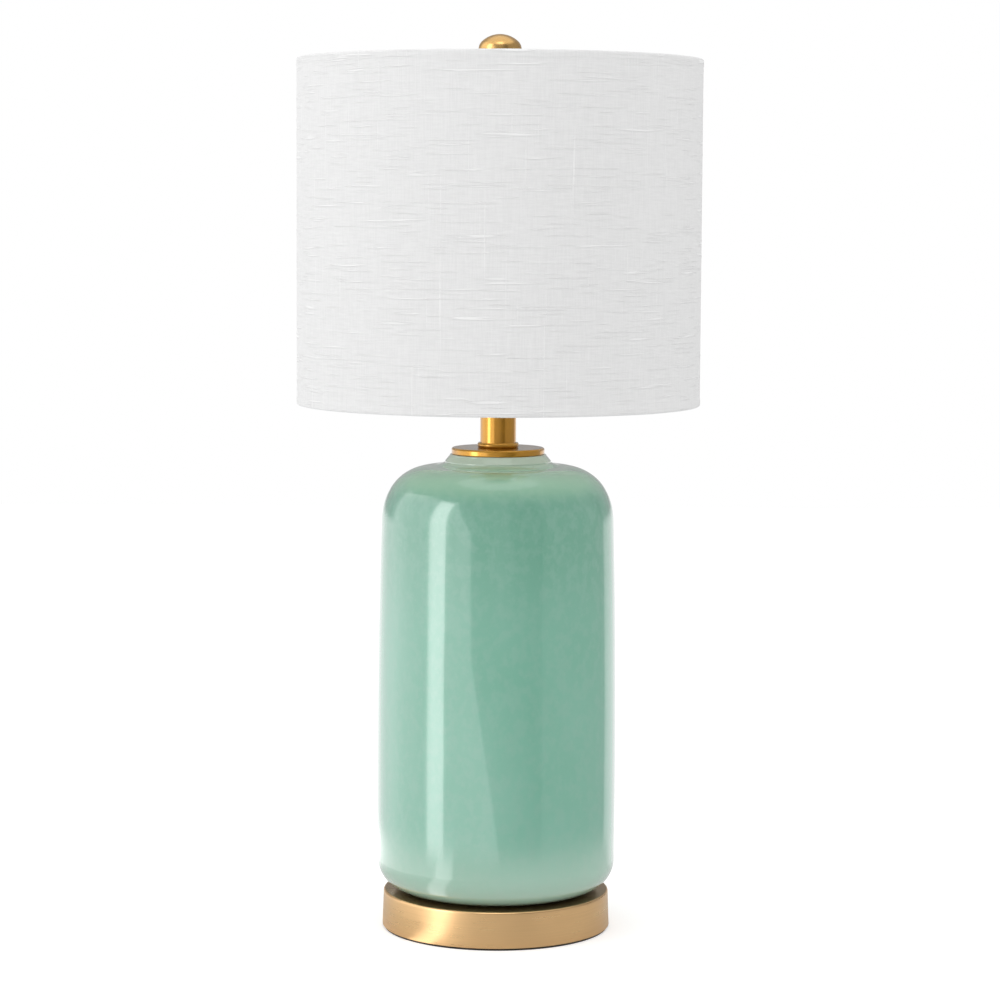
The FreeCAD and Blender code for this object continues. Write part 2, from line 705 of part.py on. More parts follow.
def make_bulb():
    tip_top = "(bulb_tip_z + bulb_tip_height)"
    turned("bulb_tip_contact", [
        ("0", "bulb_tip_z"),
        ("bulb_tip_radius - 1.2", "bulb_tip_z"),
        ("bulb_tip_radius", "bulb_tip_z + 1.2", "left", "1.2"),
        ("bulb_tip_radius", tip_top),
        ("0", tip_top),
    ])
    turned("bulb_tip_insulator", [
        ("0", tip_top),
        ("bulb_tip_radius", tip_top),
        ("bulb_cap_root_radius", "bulb_cap_bottom_z"),
        ("0", "bulb_cap_bottom_z"),
    ])
    bore = "(bulb_cap_root_radius - bulb_cap_wall)"
    waist = "((bulb_cap_radius + bulb_cap_root_radius) / 2)"
    outline = [(bore, "bulb_cap_bottom_z"), (waist, "bulb_cap_bottom_z")]
    for thread in range(5):
        start = f"(bulb_cap_bottom_z + 1.5 + bulb_thread_pitch * {thread})"
        outline += [
            (waist, start),
            (waist, f"{start} + bulb_thread_pitch * 0.6", "left", "bulb_thread_pitch * 0.45"),
            (waist, f"{start} + bulb_thread_pitch", "right", "bulb_thread_pitch * 0.25"),
        ][1 if thread else 0:]
    outline += [(waist, "bulb_cap_top_z"), (bore, "bulb_cap_top_z")]
    turned("bulb_screw_cap", outline)

    rim = "(bulb_housing_top_radius - bulb_housing_wall - 1)"
    turned("bulb_housing", [
        (f"{bore} - 2", "bulb_cap_top_z"),
        ("bulb_cap_radius + 1.2", "bulb_cap_top_z"),
        ("bulb_cap_radius + 1.6", "bulb_cap_top_z + 2"),
        ("bulb_housing_top_radius", "bulb_housing_top_z", "left", "bulb_radius * 2"),
        (rim, "bulb_housing_top_z"),
        ("bulb_cap_radius", "bulb_cap_top_z + 2.6"),
        (f"{bore} - 2", "bulb_cap_top_z + 2.6"),
    ])
    washer("bulb_light_board", "0", f"{rim} + 0.8", "bulb_housing_top_z",
           "bulb_housing_top_z + light_board_thickness")
    swell = "(bulb_radius - bulb_housing_top_radius)"
    side_arc = f"(({swell}^2 + (bulb_centre_z - bulb_housing_top_z)^2) / (2 * {swell}))"
    inner_radius = "(bulb_radius - bulb_glass)"
    turned("bulb_diffuser", [
        ("bulb_housing_top_radius", "bulb_housing_top_z"),
        ("bulb_radius", "bulb_centre_z", "left", side_arc),
        ("0", "bulb_centre_z + bulb_radius", "left", "bulb_radius"),
        ("0", "bulb_centre_z + bulb_radius - bulb_glass"),
        (inner_radius, "bulb_centre_z", "right", inner_radius),
        ("bulb_housing_top_radius - bulb_glass", "bulb_housing_top_z",
         "right", f"({side_arc} - bulb_glass)"),
    ])


# ------------------------------------------------------------------ harp

def make_harp():
    flare, close = "harp_flare_angle", "harp_close_angle"
    x_flared = f"(leg_x + harp_flare_radius * (1 - cos({flare})))"
    x_closing = f"({x_flared} + harp_side_radius * (cos({close}) - cos({flare})))"
    x_corner = f"(harp_top_half + harp_corner_radius * cos({close}))"
    z_corner = f"(harp_top_z - harp_corner_radius * (1 - sin({close})))"
    z_closing = f"({z_corner} - ({x_closing} - {x_corner}) / tan({close}))"
    z_flared = f"({z_closing} - harp_side_radius * (sin({flare}) + sin({close})))"
    z_leg = f"({z_flared} - harp_flare_radius * sin({flare}))"

    bow = doc.addObject("PartDesign::Body", "harp_bow")
    bent_wire(bow, "harp_wire_radius", "XY_Plane", FOOT_TOP, "-leg_x", [
        ("-leg_x", FOOT_TOP),
        ("-leg_x", z_leg),
        (f"-{x_flared}", z_flared, "left", "harp_flare_radius"),
        (f"-{x_closing}", z_closing, "right", "harp_side_radius"),
        (f"-{x_corner}", z_corner),
        ("-harp_top_half", "harp_top_z", "right", "harp_corner_radius"),
        ("harp_top_half", "harp_top_z"),
        (x_corner, z_corner, "right", "harp_corner_radius"),
        (x_closing, z_closing),
        (x_flared, z_flared, "right", "harp_side_radius"),
        ("leg_x", z_leg, "left", "harp_flare_radius"),
        ("leg_x", FOOT_TOP),
    ])
    keep(bow, "harp_bow")

    for side, sign in (("left", "-"), ("right", "")):
        make_foot("harp_foot_" + side, sign + "leg_x")
        ferrule = turned("harp_ferrule_" + side, [
            ("ferrule_bore_radius", FOOT_BOTTOM),
            ("ferrule_radius - 0.5", FOOT_BOTTOM),
            ("ferrule_radius", f"{FOOT_BOTTOM} + 0.5", "left", "0.5"),
            ("ferrule_radius", f"{FOOT_BOTTOM} + ferrule_length - 0.5"),
            ("ferrule_radius - 0.5", f"{FOOT_BOTTOM} + ferrule_length", "left", "0.5"),
            ("ferrule_bore_radius", f"{FOOT_BOTTOM} + ferrule_length"),
        ])
        bind(ferrule, "Placement.Base.x", sign + "leg_x")

    block_top = "(harp_top_z + harp_block_height / 2)"
    block = washer("harp_top_block", "0", "harp_block_radius",
                   "harp_top_z - harp_block_height / 2", block_top)
    wire_hole = new_sketch(block, "YZ_Plane")
    draw_circle(wire_hole, "0", "harp_top_z", "harp_wire_radius")
    cut(block, wire_hole, "harp_block_radius * 2 + 2", towards_normal=False, symmetric=True)
    turned("harp_stud", [
        ("0", block_top),
        ("stud_flange_radius", block_top),
        ("stud_flange_radius", "stud_flange_top_z"),
        ("stud_radius", "stud_flange_top_z"),
        ("stud_radius", "stud_top_z - 0.8"),
        ("stud_radius - 0.8", "stud_top_z"),
        ("0", "stud_top_z"),
    ])


def make_foot(label, x):
    """A round foot with a slot that drops over the saddle's tab."""
    foot = doc.addObject("PartDesign::Body", label)
    circle = new_sketch(foot, "XY_Plane", FOOT_BOTTOM)
    draw_circle(circle, "0", "0", "harp_foot_radius")
    pad(foot, circle, "harp_foot_length")
    slot = new_sketch(foot, "XY_Plane", FOOT_BOTTOM)
    half_thickness = "(saddle_thickness / 2 + slot_gap)"
    half_width = "(saddle_tab_width / 2 + slot_gap)"
    trace(slot, ring_outline(f"-{half_thickness}", half_thickness, f"-{half_width}", half_width))
    cut(foot, slot, f"saddle_tab_top_z - {FOOT_BOTTOM} + slot_gap", towards_normal=True)
    bind(foot, "Placement.Base.x", x)
    keep(foot, label)


# ------------------------------------------------------------------ shade

def wire_ring(label, height):
    ring = doc.addObject("Part::Torus", label)
    bind(ring, "Radius1", FRAME_RADIUS)
    bind(ring, "Radius2", "frame_wire_radius")
    bind(ring, "Placement.Base.z", height)
    keep(ring, label)


def make_shade():
    strip = "edge_strip_thickness"
    low, high = f"(shade_bottom_z + {strip})", f"({SHADE_TOP} - {strip})"
    washer("shade_linen", LINER_OUTER, "shade_radius", low, high)
    washer("shade_liner", LINER_INNER, LINER_OUTER, low, high)
    wire_ring("shade_top_ring", f"{SHADE_TOP} - {FRAME_DEPTH}")
    wire_ring("shade_bottom_ring", f"shade_bottom_z + {FRAME_DEPTH}")

    # Each rolled edge covers the rim and turns down inside the frame's wire.
    turn_outer = f"({FRAME_RADIUS} - frame_wire_radius)"
    turn_inner = f"({turn_outer} - {strip})"
    for label, rim, edge, turn_end in (
            ("shade_top_edge", SHADE_TOP, high, f"{high} - edge_strip_turn"),
            ("shade_bottom_edge", "shade_bottom_z", low, f"{low} + edge_strip_turn")):
        turned(label, [
            (turn_inner, rim),
            ("shade_radius", rim),
            ("shade_radius", edge),
            (turn_outer, edge),
            (turn_outer, turn_end),
            (turn_inner, turn_end),
        ])

    washer("spider_hub", "hub_washer_hole_radius", "hub_washer_radius", HUB_BOTTOM, HUB_TOP)
    arm_angle = 360 / value("arm_count")
    for turn, label in enumerate(("spider_arm_back", "spider_arm_left", "spider_arm_right")):
        make_arm(label, 90 + arm_angle * turn)


def make_arm(label, angle):
    """A wire from the hub's edge, bent up to run under the top ring."""
    hub_z = f"(({HUB_BOTTOM} + {HUB_TOP}) / 2)"
    ring_z = f"({SHADE_TOP} - {FRAME_DEPTH} - 2 * frame_wire_radius + arm_weld)"
    slope = f"atan(({ring_z} - {hub_z}) / (arm_outer_bend_radius - arm_inner_bend_radius))"
    tangent = f"(arm_bend * tan({slope} / 2))"
    start = "(hub_washer_radius - arm_weld)"
    arm = doc.addObject("PartDesign::Body", label)
    bent_wire(arm, "frame_wire_radius", "YZ_Plane", start, hub_z, [
        (start, hub_z),
        (f"arm_inner_bend_radius - {tangent}", hub_z),
        (f"arm_inner_bend_radius + {tangent} * cos({slope})", f"{hub_z} + {tangent} * sin({slope})",
         "left", "arm_bend"),
        (f"arm_outer_bend_radius - {tangent} * cos({slope})", f"{ring_z} - {tangent} * sin({slope})"),
        (f"arm_outer_bend_radius + {tangent}", ring_z, "right", "arm_bend"),
        (f"{LINER_INNER} - arm_weld", ring_z),
    ])
    arm.Placement = FreeCAD.Placement(FreeCAD.Vector(), FreeCAD.Rotation(FreeCAD.Vector(0, 0, 1), angle))
    keep(arm, label)


# ------------------------------------------------------------------ finial

def make_finial():
    """A flattened ball, drawn with two tangent arcs, on a neck with a small flange."""
    inset = "(finial_radius - finial_side_round)"
    rise = "(finial_half_height - finial_side_round)"
    offset = f"(({inset}^2 - {rise}^2) / (2 * {rise}))"
    flat_arc = f"(finial_half_height + {offset})"
    join_x = f"({flat_arc} * {inset} / ({flat_arc} - finial_side_round))"
    join_rise = f"({offset} * finial_side_round / ({flat_arc} - finial_side_round))"
    neck_top = f"(finial_centre_z + {offset} - sqrt({flat_arc}^2 - finial_neck_radius^2))"
    flange_top = f"({FINIAL_BOTTOM} + finial_flange_height)"
    cove = "(finial_flange_radius - finial_neck_radius)"
    bore_top = "(stud_top_z + 0.6)"
    turned("finial", [
        ("finial_bore_radius", FINIAL_BOTTOM),
        ("finial_flange_radius", FINIAL_BOTTOM),
        ("finial_flange_radius", flange_top),
        ("finial_neck_radius", f"{flange_top} + {cove}", "right", cove),
        ("finial_neck_radius", neck_top),
        (join_x, f"finial_centre_z - {join_rise}", "left", flat_arc),
        (join_x, f"finial_centre_z + {join_rise}", "left", "finial_side_round"),
        ("0", "finial_centre_z + finial_half_height", "left", flat_arc),
        ("0", bore_top),
        ("finial_bore_radius", bore_top),
    ])


# ------------------------------------------------------------------ the whole lamp

make_base()
make_jar()
make_neck()
make_saddle()
make_socket()
make_switch()
make_bulb()
make_harp()
make_shade()
make_finial()
doc.recompute()

# ------------------------------------------------------------------ check and write

for item in doc.Objects:
    if "Invalid" in item.State or "Error" in item.State:
        raise RuntimeError(f"{item.Label} failed: {item.State}")

os.makedirs("parts", exist_ok=True)
for piece in pieces:
    if piece.Shape.isNull() or not piece.Shape.isValid():
        raise RuntimeError(piece.Label + " has no valid shape")
    piece.Shape.exportStep(f"parts/{piece.Label}.step")
    print(piece.Label, "solids", len(piece.Shape.Solids), "mm3", round(piece.Shape.Volume, 1))
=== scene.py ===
import json
import math

import bpy
import numpy as np
from mathutils import Euler, Matrix, Vector


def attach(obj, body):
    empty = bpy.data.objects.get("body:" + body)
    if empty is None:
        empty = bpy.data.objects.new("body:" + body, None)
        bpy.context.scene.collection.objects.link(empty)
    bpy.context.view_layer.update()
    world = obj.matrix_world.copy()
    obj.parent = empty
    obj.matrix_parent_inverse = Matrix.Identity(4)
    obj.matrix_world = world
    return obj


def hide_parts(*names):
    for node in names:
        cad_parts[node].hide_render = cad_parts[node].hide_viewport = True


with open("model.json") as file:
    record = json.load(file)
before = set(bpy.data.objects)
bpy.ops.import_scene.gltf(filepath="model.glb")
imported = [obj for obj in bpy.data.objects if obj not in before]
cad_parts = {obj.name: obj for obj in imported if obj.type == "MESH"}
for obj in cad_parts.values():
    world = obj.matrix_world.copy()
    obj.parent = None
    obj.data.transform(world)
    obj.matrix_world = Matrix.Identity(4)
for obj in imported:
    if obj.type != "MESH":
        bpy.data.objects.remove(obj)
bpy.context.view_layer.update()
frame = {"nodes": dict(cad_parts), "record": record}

MM = 0.001
DEGREES = 180 / math.pi
nodes = frame["nodes"]


# ------------------------------------------------------------------ camera

FOCAL_PIXELS = 3026.0
IMAGE_PIXELS = 1000.0
SENSOR = 36.0
CAMERA_AT = Vector((0.00155, -2.1, 0.5027))
PITCH_DOWN = math.radians(5.492)
ROLL = math.radians(0.305)


def make_camera():
    data = bpy.data.cameras.new("camera")
    data.sensor_width = data.sensor_height = SENSOR
    data.sensor_fit = "HORIZONTAL"
    data.lens = FOCAL_PIXELS / IMAGE_PIXELS * SENSOR
    camera = bpy.data.objects.new("camera", data)
    bpy.context.scene.collection.objects.link(camera)
    look = Euler((math.pi / 2 - PITCH_DOWN, 0, 0)).to_matrix()
    camera.matrix_world = (Matrix.Translation(CAMERA_AT)
                           @ (look @ Euler((0, 0, ROLL)).to_matrix()).to_4x4())
    bpy.context.scene.camera = camera


# ------------------------------------------------------------------ node helpers

class Graph:
    """A material's or world's node tree, with short calls for the nodes used here."""

    def __init__(self, owner):
        owner.use_nodes = True
        self.owner = owner
        self.tree = owner.node_tree
        self.tree.nodes.clear()

    def feed(self, socket, value):
        if isinstance(value, bpy.types.NodeSocket):
            self.tree.links.new(value, socket)
        elif hasattr(value, "__len__") and len(value) == 3 and socket.type == "RGBA":
            socket.default_value = (*value, 1.0)
        else:
            socket.default_value = value

    def node(self, kind, inputs=(), **settings):
        made = self.tree.nodes.new(kind)
        for name, value in settings.items():
            setattr(made, name, value)
        for name, value in dict(inputs).items():
            self.feed(made.inputs[name], value)
        return made

    def math(self, operation, *values):
        made = self.node("ShaderNodeMath", operation=operation)
        for socket, value in zip(made.inputs, values):
            self.feed(socket, value)
        return made.outputs[0]

    def add(self, *values):
        total = values[0]
        for value in values[1:]:
            total = self.math("ADD", total, value)
        return total

    def times(self, first, second):
        return self.math("MULTIPLY", first, second)

    def azimuth(self, x, y):
        """Degrees round the lamp's axis from the camera side, right positive."""
        return self.times(self.math("ARCTAN2", x, self.times(y, -1.0)), DEGREES)

    def ramp(self, value, low, high, to_low=0.0, to_high=1.0, smooth=True):
        """Maps value from low..high to to_low..to_high, held at the ends."""
        kind = "SMOOTHSTEP" if smooth else "LINEAR"
        made = self.node("ShaderNodeMapRange", interpolation_type=kind)
        for name, number in (("Value", value), ("From Min", low), ("From Max", high),
                             ("To Min", to_low), ("To Max", to_high)):
            self.feed(made.inputs[name], number)
        return made.outputs[0]

    def mix(self, factor, first, second):
        made = self.node("ShaderNodeMix", data_type="RGBA", clamp_factor=True)
        self.feed(made.inputs[0], factor)
        self.feed(made.inputs[6], first)
        self.feed(made.inputs[7], second)
        return made.outputs[2]

    def coords(self):
        return self.node("ShaderNodeTexCoord").outputs["Object"]

    def stretched(self, vector, scale):
        return self.node("ShaderNodeMapping", {"Vector": vector, "Scale": scale}).outputs[0]

    def noise(self, vector, scale=(1, 1, 1), detail=2.0, roughness=0.5):
        made = self.node("ShaderNodeTexNoise", {
            "Vector": self.stretched(vector, scale), "Scale": 1.0, "Detail": detail,
            "Roughness": roughness})
        return made.outputs["Fac"]

    def bump(self, height, distance, strength=1.0, normal=None):
        made = self.node("ShaderNodeBump", {
            "Height": height, "Distance": distance, "Strength": strength})
        if normal is not None:
            self.feed(made.inputs["Normal"], normal)
        return made.outputs[0]

    def surface(self, **inputs):
        """A Principled BSDF. Underscores in the input names stand for spaces."""
        shader = self.node("ShaderNodeBsdfPrincipled")
        for name, value in inputs.items():
            self.feed(shader.inputs[name.replace("_", " ")], value)
        output = self.node("ShaderNodeOutputMaterial")
        self.tree.links.new(shader.outputs[0], output.inputs[0])


def new_graph(name):
    return Graph(bpy.data.materials.new(name))


# ------------------------------------------------------------------ materials

# Heights on the jar, in metres, between which its green turns darker, a painted reflection makes
# it paler over the shoulder, a painted reflection of the floor makes it paler at the foot, and it
# turns paler on the lip.
DARKER_GREEN_HEIGHTS = 0.20, 0.29
SHOULDER_REFLECTION_HEIGHTS = 0.307, 0.323
FLOOR_REFLECTION_HEIGHTS = 0.090, 0.030
GLAZE_LIP = 0.3295, 0.3335
CLOUDED_GREEN = 0.27, 0.50, 0.40


def glaze_material():
    """Celadon glaze: clouded green, darker on its upper part, with a painted reflection paler
    over the shoulder, a painted reflection of the floor paler at the foot, and paler on the lip.
    """
    g = new_graph("celadon_glaze")
    place = g.coords()
    height = g.node("ShaderNodeSeparateXYZ", {0: place}).outputs["Z"]
    clouds = g.noise(place, (9, 9, 7), detail=3.0, roughness=0.55)
    mottle = g.noise(place, (150, 150, 120), detail=3.0, roughness=0.6)
    streaks = g.noise(place, (60, 60, 7), detail=2.0)
    flecks = g.noise(place, (420, 420, 420), detail=1.0)
    colour = g.mix(g.ramp(clouds, 0.30, 0.70), (0.196, 0.470, 0.348), (0.240, 0.510, 0.396))
    # The jar's green turns darker on its upper part.
    colour = g.mix(g.ramp(height, *DARKER_GREEN_HEIGHTS, 0.0, 0.7), colour, (0.158, 0.398, 0.284))
    colour = g.mix(g.ramp(mottle, 0.40, 0.66, 0.0, 0.40), colour, CLOUDED_GREEN)
    colour = g.mix(g.ramp(streaks, 0.45, 0.75, 0.0, 0.22), colour, CLOUDED_GREEN)
    colour = g.mix(g.ramp(flecks, 0.68, 0.76, 0.0, 0.10), colour, (0.33, 0.54, 0.43))
    uneven = g.add(height, g.times(clouds, 0.008))
    # Painted reflection: over the shoulder the green is painted paler.
    painted_shoulder_reflection = g.ramp(uneven, *SHOULDER_REFLECTION_HEIGHTS, 0.0, 0.7)
    colour = g.mix(painted_shoulder_reflection, colour, (0.40, 0.68, 0.48))
    # Painted reflection of the white floor: the foot is painted paler. The lip turns paler as
    # well.
    foot = g.ramp(uneven, *FLOOR_REFLECTION_HEIGHTS, 0.0, 0.5)
    lip = g.ramp(uneven, *GLAZE_LIP, 0.0, 0.9)
    colour = g.mix(g.math("MAXIMUM", foot, lip), colour, (0.58, 0.68, 0.56))
    waves = g.noise(place, (22, 22, 11), detail=1.0)
    peel = g.noise(place, (260, 260, 260), detail=1.0)
    normal = g.bump(waves, 0.0009, normal=g.bump(peel, 0.00001))
    g.surface(Base_Color=colour, Roughness=0.16, IOR=1.5, Normal=normal,
              Coat_Weight=1.0, Coat_Roughness=0.02, Coat_IOR=1.5)
    return g.owner


def gold_material(name, colour, roughness, brushed, top_shade_share=0.0, metallic=0.95, lacquer=0.0):
    """Satin gold with fine brush lines that run round the axis. Faces that point up get a painted
    shade and dark reflection, darker by the given share."""
    def darker(share):
        return tuple(channel * share for channel in colour)

    g = new_graph(name)
    place = g.coords()
    normal = g.node("ShaderNodeNewGeometry").outputs["Normal"]
    facing = g.node("ShaderNodeSeparateXYZ", {0: normal})
    lines = g.noise(place, (14, 14, 5200), detail=3.0, roughness=0.7)
    broad = g.noise(place, (9, 9, 900), detail=2.0)
    cloud = g.noise(place, (35, 35, 60), detail=3.0)
    tone = g.mix(g.ramp(lines, 0.3, 0.7), darker(0.90), colour)
    tone = g.mix(g.ramp(cloud, 0.35, 0.75, 0.0, 0.30), tone, darker(0.92))
    # Painted shade and dark reflection: faces that point up are painted darker.
    top = g.ramp(facing.outputs["Z"], 0.86, 0.98, 0.0, top_shade_share)
    tone = g.mix(top, tone, darker(0.40))
    gloss = g.add(g.ramp(broad, 0.3, 0.7, roughness - 0.03, roughness + 0.03),
                  g.ramp(cloud, 0.3, 0.7, -0.02, 0.03))
    g.surface(Base_Color=tone, Metallic=metallic, Roughness=gloss, Coat_Weight=lacquer,
              Coat_Roughness=0.1, Normal=g.bump(lines, 0.02 * MM, strength=brushed))
    return g.owner


SLUB_SCALE = 24, 24, 800
SLUB_SHARE = 0.61, 0.71
SHADOW_DROP = 0.9 * MM


def linen_material(name):
    """White slubbed linen: a fine plain weave, with thick threads running across in long
    thin lines and a few upright ones."""
    g = new_graph(name)
    place = g.coords()
    weft = g.noise(place, (110, 110, 1100), detail=2.0)
    warp = g.noise(place, (950, 950, 70), detail=2.0)
    slub = g.ramp(g.noise(place, SLUB_SCALE, detail=1.0), *SLUB_SHARE)
    # Just under each thick thread lies its thin shadow.
    above = g.node("ShaderNodeVectorMath", {0: place, 1: (0.0, 0.0, SHADOW_DROP)},
                   operation="ADD").outputs[0]
    under = g.ramp(g.noise(above, SLUB_SCALE, detail=1.0), *SLUB_SHARE)
    upright = g.ramp(g.noise(place, (620, 620, 12), detail=1.0), 0.69, 0.78)
    threads = g.times(g.add(weft, warp), 0.5)
    tone = g.mix(g.ramp(threads, 0.32, 0.68), (0.800, 0.800, 0.800), (0.852, 0.852, 0.851))
    tone = g.mix(g.times(under, 0.5), tone, (0.760, 0.760, 0.760))
    tone = g.mix(g.math("MAXIMUM", slub, g.times(upright, 0.7)), tone, (0.930, 0.930, 0.930))
    relief = g.add(g.times(threads, 0.5), slub, g.times(upright, 0.4))
    g.surface(Base_Color=tone, Roughness=0.92, Normal=g.bump(relief, 0.22 * MM),
              Sheen_Weight=0.1, Sheen_Roughness=0.5)
    return g.owner


def plain_material(name, colour, roughness, metallic=0.0, speckle=0.06, scale=400,
                   bump=0.02 * MM, **more):
    """Moulded, cast, painted or plated stuff: slight mottling, with a fine grain in the gloss."""
    g = new_graph(name)
    place = g.coords()
    grain = g.noise(place, (scale,) * 3, detail=3.0)
    cloud = g.noise(place, (scale / 12,) * 3, detail=2.0)
    low = tuple(channel * (1 - speckle) for channel in colour)
    high = tuple(min(1.0, channel * (1 + speckle)) for channel in colour)
    blotches = g.add(g.times(grain, 0.6), g.times(cloud, 0.4))
    tone = g.mix(g.ramp(blotches, 0.35, 0.65), low, high)
    gloss = g.ramp(cloud, 0.3, 0.7, roughness * 0.85, min(1.0, roughness * 1.15))
    g.surface(Base_Color=tone, Roughness=gloss, Metallic=metallic,
              Normal=g.bump(grain, bump), **more)
    return g.owner


def dress_nodes():
    """Gives each CAD node the procedural material of its slot."""
    made = {
        "celadon_glaze": glaze_material(),
        "base_gold": gold_material(
            "base_gold", (0.80, 0.51, 0.25), 0.30, 0.45, top_shade_share=0.85, metallic=0.9),
        "neck_gold": gold_material(
            "neck_gold", (0.68, 0.32, 0.025), 0.17, 0.2, top_shade_share=0.85, metallic=0.62, lacquer=0.6),
        "finial_gold": gold_material(
            "finial_gold", (0.72, 0.44, 0.16), 0.28, 0.15, metallic=0.9),
        "harp_brass": gold_material("harp_brass", (0.80, 0.62, 0.34), 0.25, 0.15),
        "socket_brass": gold_material("socket_brass", (0.78, 0.58, 0.28), 0.28, 0.35),
        "pad_felt": plain_material(
            "pad_felt", (0.035, 0.030, 0.027), 0.95, speckle=0.3, scale=1500, bump=0.2 * MM,
            Sheen_Weight=0.3),
        "ballast_iron": plain_material(
            "ballast_iron", (0.09, 0.09, 0.095), 0.6, metallic=0.6, speckle=0.2, scale=700,
            bump=0.2 * MM),
        "plated_steel": plain_material("plated_steel", (0.62, 0.61, 0.58), 0.3, metallic=1.0),
        "grommet_plastic": plain_material("grommet_plastic", (0.03, 0.03, 0.03), 0.45),
        "gasket_rubber": plain_material(
            "gasket_rubber", (0.03, 0.028, 0.026), 0.75, speckle=0.15),
        "liner_card": plain_material(
            "liner_card", (0.42, 0.32, 0.20), 0.85, speckle=0.15, scale=900),
        "dark_phenolic": plain_material(
            "dark_phenolic", (0.022, 0.019, 0.017), 0.35, speckle=0.2),
        "bright_aluminium": plain_material(
            "bright_aluminium", (0.82, 0.82, 0.83), 0.25, metallic=1.0),
        "bulb_white": plain_material("bulb_white", (0.82, 0.82, 0.81), 0.38, speckle=0.02),
        "bulb_frost": plain_material(
            "bulb_frost", (0.86, 0.86, 0.85), 0.5, speckle=0.015,
            Subsurface_Weight=0.2, Subsurface_Scale=4 * MM),
        "white_linen": linen_material("white_linen"),
        "edge_linen": linen_material("edge_linen"),
        "liner_styrene": plain_material(
            "liner_styrene", (0.87, 0.87, 0.86), 0.5, speckle=0.015, scale=250),
        "frame_white": plain_material(
            "frame_white", (0.78, 0.78, 0.77), 0.4, speckle=0.03, bump=0.06 * MM),
    }
    for part in frame["record"]["subparts"]:
        slots = nodes[part["node"]].data.materials
        slots.clear()
        slots.append(made[part["material_slot"]])
    return made


# ------------------------------------------------------------------ the shade's linen

SHADE_RADIUS = 139.7 * MM
SHADE_TOP = 605.0 * MM
SHADE_BOTTOM = 368.0 * MM
CLOTH = 0.6 * MM
TURN_RADIUS = 134.8 * MM
TURN_LENGTH = 3.2 * MM
RIM_BEND = 0.7 * MM
SEAM = 12.0 * MM
SEAM_GAP = 0.15 * MM
SEAM_CLIMB = 8 * MM
HEM_RISE = 0.25 * MM
HEM_WIDTH = 5.5 * MM
HEM_FADE = 1.2 * MM
COLUMNS = 360
ROW_STEP = 0.6 * MM
SLUB_SEED = 23
SLUBS_ACROSS = 1100
SLUBS_UPRIGHT = 70


def cloth_path():
    """The middle of the cloth, from its inner edge at the top, over the rim, down the
    outside and round the bottom rim. Rows of radius, height."""
    outer, inner = SHADE_RADIUS - CLOTH / 2, TURN_RADIUS + CLOTH / 2
    top, bottom, bend = SHADE_TOP - CLOTH / 2, SHADE_BOTTOM + CLOTH / 2, RIM_BEND
    points = [(inner, SHADE_TOP - TURN_LENGTH)]

    def corner(radius, height, start):
        for step in range(5):
            angle = math.radians(start - step * 22.5)
            points.append((radius + bend * math.cos(angle),
                           height + bend * math.sin(angle)))

    corner(inner + bend, top - bend, 180)
    corner(outer - bend, top - bend, 90)
    straight = top - bottom - 2 * bend
    rows = round(straight / ROW_STEP)
    for row in range(1, rows):
        points.append((outer, top - bend - straight * row / rows))
    corner(outer - bend, bottom + bend, 0)
    corner(inner + bend, bottom + bend, -90)
    points.append((inner, SHADE_BOTTOM + TURN_LENGTH))
    return np.array(points)


def slub_relief(along, across):
    """How far the threads stand out, over the cloth's length and height: long thick places
    in the threads that run round the drum, a few in the upright ones, and a little unevenness."""
    draw = np.random.default_rng(SLUB_SEED)
    relief = draw.normal(0.0, 0.012 * MM, (len(along), len(across)))
    for _ in range(SLUBS_ACROSS):
        start = draw.uniform(along[0], along[-1])
        height = draw.uniform(across[0], across[-1])
        length, width = draw.uniform(8, 42) * MM, draw.uniform(0.35, 0.6) * MM
        proud = (0.05 + 0.30 * draw.random() ** 3) * MM
        i0, i1 = np.searchsorted(along, (start, start + length))
        j0, j1 = np.searchsorted(across, (height - 2.5 * width, height + 2.5 * width))
        if i1 - i0 < 2 or j1 <= j0:
            continue
        ends = np.sin(np.pi * (along[i0:i1] - start) / length)[:, None] ** 0.5
        round_it = np.exp(-((across[j0:j1] - height) / width) ** 2)[None]
        relief[i0:i1, j0:j1] += proud * ends * round_it
    for _ in range(SLUBS_UPRIGHT):
        start = draw.uniform(along[0], along[-1])
        height = draw.uniform(across[0], across[-1])
        length = draw.uniform(25, 80) * MM
        i = np.searchsorted(along, start)
        j0, j1 = np.searchsorted(across, (height, height + length))
        if j1 - j0 > 2:
            bulge = np.sin(np.pi * (across[j0:j1] - height) / length)
            relief[i % len(along), j0:j1] += 0.05 * MM * bulge
    # The free edge of the lap is even.
    relief[-1] = 0.0
    return relief


